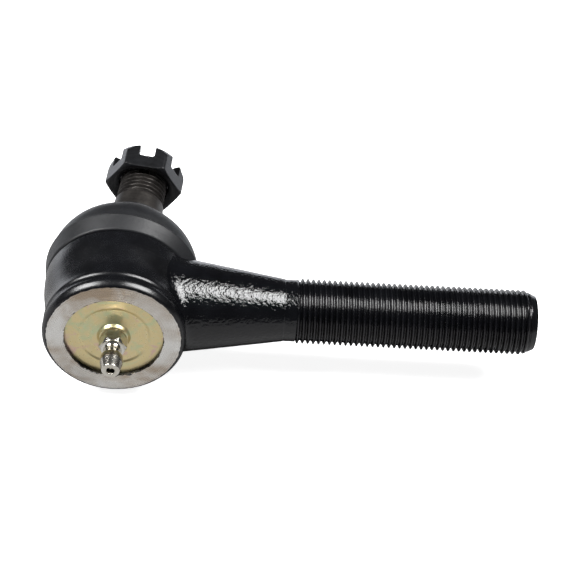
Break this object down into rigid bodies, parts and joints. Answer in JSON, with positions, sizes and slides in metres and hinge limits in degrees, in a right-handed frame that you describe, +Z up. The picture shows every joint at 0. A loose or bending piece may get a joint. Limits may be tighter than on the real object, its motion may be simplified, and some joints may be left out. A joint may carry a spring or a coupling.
{
  "type": "tie rod end",
  "caption": "Greaseable tie rod end: forged socket with a threaded shank, crimped cover, ball stud that swings and spins, rubber boot and slotted nut.",
  "frame": {"origin": "middle of the shank's flat end face", "axes": "+X out of the shank's end along its thread; +Y from the cover side to the stud side, along the untilted stud; +Z up, square to both"},
  "size_m": [0.144, 0.0835, 0.0459],
  "materials": {
    "black_paint": "gloss black paint over a forging",
    "yellow_zinc": "yellow chromated zinc",
    "bright_steel": "bright turned steel",
    "spring_steel": "satin spring steel",
    "bearing_plastic": "natural acetal",
    "boot_rubber": "matt black rubber",
    "stud_steel": "dull phosphated steel",
    "black_oxide": "black oxide"
  },
  "bodies": {
    "socket": {"housing": "black_paint", "cover_plate": "yellow_zinc", "grease_fitting_body": "bright_steel", "grease_fitting_spring": "spring_steel", "preload_disc_spring": "spring_steel", "upper_bearing": "bearing_plastic", "boot_skirt": "boot_rubber", "boot_clip_ring": "spring_steel"},
    "boot_middle": {"boot_wall": "boot_rubber"},
    "boot_top": {"boot_neck": "boot_rubber", "boot_neck_ring": "spring_steel"},
    "stud": {"ball_stud": "stud_steel"},
    "nut": {"castle_nut": "black_oxide"},
    "seat": {"lower_bearing": "bearing_plastic"},
    "check_ball": {"grease_fitting_check_ball": "bright_steel"}
  },
  "joints": [
    {"name": "stud_swing", "type": "hinge", "parent": "socket", "child": "boot_middle", "pos_m": [-0.122, 0, 0], "axis": [1, 0, 0], "range_deg": [-27.8, 4.2], "deforming": ["boot_wall"]},
    {"name": "stud_rock", "type": "hinge", "parent": "boot_middle", "child": "boot_top", "pos_m": [-0.122, 0, 0], "axis": [0, -0.204, 0.979], "range_deg": [-9.6, 22.4], "deforming": ["boot_neck"]},
    {"name": "stud_spin", "type": "hinge", "parent": "boot_top", "child": "stud", "pos_m": [-0.122, 0, 0], "axis": [0.1108, 0.9729, 0.2027], "continuous": true},
    {"name": "nut_travel", "type": "slide", "parent": "stud", "child": "nut", "axis": [0.1108, 0.9729, 0.2027], "range_m": [-0.0046, 0.005]},
    {"name": "seat_preload", "type": "slide", "parent": "socket", "child": "seat", "axis": [0, -1, 0], "range_m": [0, 0.0003], "stiffness_N_per_m": 5000},
    {"name": "check_ball_lift", "type": "slide", "parent": "socket", "child": "check_ball", "axis": [0, 1, 0], "range_m": [0, 0.0012], "stiffness_N_per_m": 200, "deforming": ["grease_fitting_spring"]}
  ]
}
